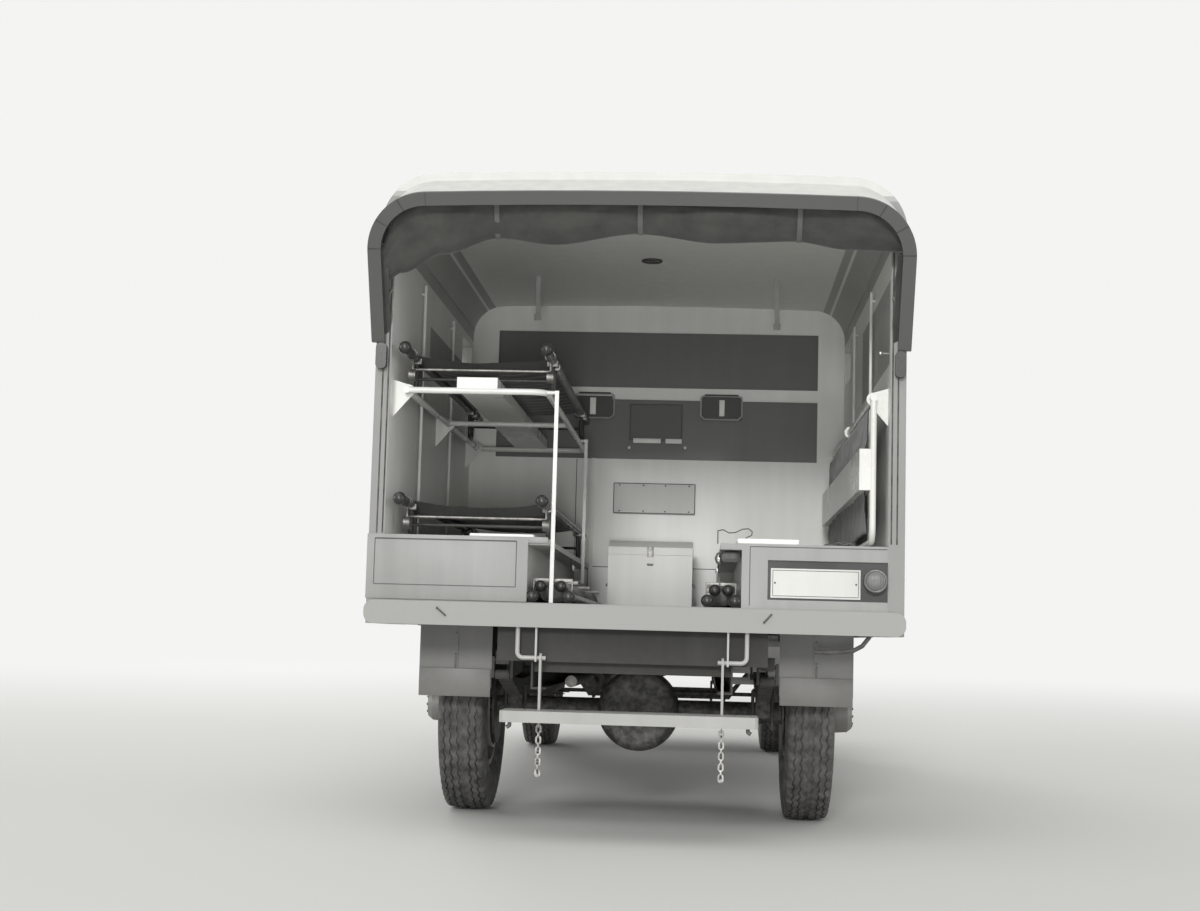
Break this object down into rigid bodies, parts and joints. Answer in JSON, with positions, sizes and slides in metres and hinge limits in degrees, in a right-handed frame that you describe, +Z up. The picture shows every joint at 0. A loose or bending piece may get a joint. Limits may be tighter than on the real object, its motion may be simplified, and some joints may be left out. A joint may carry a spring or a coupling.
{
  "type": "military ambulance truck",
  "caption": "Military ambulance truck: bonneted cab, box load body open at the rear with stretcher racks, lockers, hood, fold-up step and chains, on a ladder chassis with steered front wheels.",
  "frame": {"origin": "centre of the bounding box on the ground under the tyres", "axes": "+X to the truck's right, +Y forward, +Z up"},
  "size_m": [2.212, 5.2929, 2.7358],
  "materials": {
    "black_plastic": "moulded",
    "canvas": "coarse weave",
    "canvas_dark": "coarse weave",
    "dark_metal": "worn paint",
    "glass": "clear",
    "inside": "satin paint",
    "iron": "rough",
    "khaki": "satin paint",
    "leather": "worn",
    "rubber": "matt",
    "tyre": "matt",
    "white": "satin paint",
    "wood": "painted planks"
  },
  "bodies": {
    "truck": {"axles": "iron", "body_floor": "wood", "body_roof": "khaki", "body_sides": "khaki", "bulkhead": "inside", "cab_glass": "glass", "cab_seats": "leather", "cab_shell": "khaki", "chassis_frame": "dark_metal", "chest": "inside", "crossmembers": "dark_metal", "curtain": "canvas_dark", "engine_block": "iron", "exhaust": "iron", "front_bumper": "dark_metal", "front_guards": "khaki", "fuel_tank": "dark_metal", "lamps": "black_plastic", "leaf_springs": "iron", "lockers": "inside", "mudguards": "rubber", "number_plate": "white", "propeller_shaft": "iron", "rack_brackets": "white", "rack_left": "white", "radiator_grille": "khaki", "rear_hood": "khaki", "steering_wheel": "black_plastic", "step_hangers": "dark_metal", "stretcher_canvases": "canvas", "stretcher_frames": "wood", "stretchers_folded": "canvas", "towing_eyes": "dark_metal"},
    "knuckle_left": {"knuckle_left": "iron"},
    "knuckle_right": {"knuckle_right": "iron"},
    "tie_rod": {"tie_rod": "iron"},
    "front_wheel_left": {"wheel_front_left": "dark_metal", "tyre_front_left": "tyre"},
    "front_wheel_right": {"wheel_front_right": "dark_metal", "tyre_front_right": "tyre"},
    "rear_wheel_left": {"wheel_rear_left": "dark_metal", "tyre_rear_left": "tyre"},
    "rear_wheel_right": {"wheel_rear_right": "dark_metal", "tyre_rear_right": "tyre"},
    "door_left": {"door_left": "khaki", "door_glass_left": "glass"},
    "door_right": {"door_right": "khaki", "door_glass_right": "glass"},
    "bonnet_left": {"bonnet_leaf_left": "khaki"},
    "bonnet_right": {"bonnet_leaf_right": "khaki"},
    "step": {"step": "wood"},
    "chains": {"step_chains": "iron"},
    "rack_right": {"rack_right": "white"},
    "chest_lid": {"chest_lid": "inside"}
  },
  "joints": [
    {"name": "rear_wheel_left_spin", "type": "hinge", "parent": "truck", "child": "rear_wheel_left", "pos_m": [-0.755, -1.45965, 0.465], "axis": [1, 0, 0], "continuous": true},
    {"name": "rear_wheel_right_spin", "type": "hinge", "parent": "truck", "child": "rear_wheel_right", "pos_m": [0.755, -1.45965, 0.465], "axis": [1, 0, 0], "continuous": true},
    {"name": "steer_left", "type": "hinge", "parent": "truck", "child": "knuckle_left", "pos_m": [-0.65, 1.94435, 0.465], "axis": [0, 0.0262, 0.9997], "range_deg": [-30, 30]},
    {"name": "steer_right", "type": "hinge", "parent": "truck", "child": "knuckle_right", "pos_m": [0.65, 1.94435, 0.465], "axis": [0, 0.0262, 0.9997], "range_deg": [-30, 30]},
    {"name": "tie_rod_pivot", "type": "hinge", "parent": "knuckle_left", "child": "tie_rod", "pos_m": [-0.62, 1.7916, 0.36196], "axis": [0, 0.0262, 0.9997], "range_deg": [-30, 30]},
    {"name": "front_wheel_left_spin", "type": "hinge", "parent": "knuckle_left", "child": "front_wheel_left", "pos_m": [-0.755, 1.94435, 0.465], "axis": [1, 0, 0], "continuous": true},
    {"name": "front_wheel_right_spin", "type": "hinge", "parent": "knuckle_right", "child": "front_wheel_right", "pos_m": [0.755, 1.94435, 0.465], "axis": [1, 0, 0], "continuous": true},
    {"name": "door_left_hinge", "type": "hinge", "parent": "truck", "child": "door_left", "pos_m": [-0.892, 0.9701, 1.41672], "axis": [0, -0.0262, -0.9997], "range_deg": [0, 65]},
    {"name": "door_right_hinge", "type": "hinge", "parent": "truck", "child": "door_right", "pos_m": [0.892, 0.9701, 1.41672], "axis": [0, 0.0262, 0.9997], "range_deg": [0, 65]},
    {"name": "bonnet_left_hinge", "type": "hinge", "parent": "truck", "child": "bonnet_left", "pos_m": [0, 1.88393, 1.39479], "axis": [0, 0.9956, -0.0937], "range_deg": [0, 70]},
    {"name": "bonnet_right_hinge", "type": "hinge", "parent": "truck", "child": "bonnet_right", "pos_m": [0, 1.88393, 1.39479], "axis": [0, -0.9956, 0.0937], "range_deg": [0, 70]},
    {"name": "step_fold", "type": "hinge", "parent": "truck", "child": "step", "pos_m": [0, -2.38326, 0.72127], "axis": [-1, 0, 0], "range_deg": [0, 90]},
    {"name": "chain_swing", "type": "hinge", "parent": "step", "child": "chains", "pos_m": [0, -2.39033, 0.45136], "axis": [-1, 0, 0], "range_deg": [-90, 0]},
    {"name": "rack_right_fold", "type": "hinge", "parent": "truck", "child": "rack_right", "pos_m": [0.964, -1.42497, 1.78955], "axis": [0, 0.9997, -0.0262], "range_deg": [0, 90]},
    {"name": "chest_lid_hinge", "type": "hinge", "parent": "truck", "child": "chest_lid", "pos_m": [0, -0.03834, 1.18404], "axis": [-1, 0, 0], "range_deg": [0, 85]}
  ],
  "couplings": [
    {"joint": "steer_right", "follows": "steer_left", "ratio": 1},
    {"joint": "tie_rod_pivot", "follows": "steer_left", "ratio": -1},
    {"joint": "chain_swing", "follows": "step_fold", "ratio": -1}
  ]
}
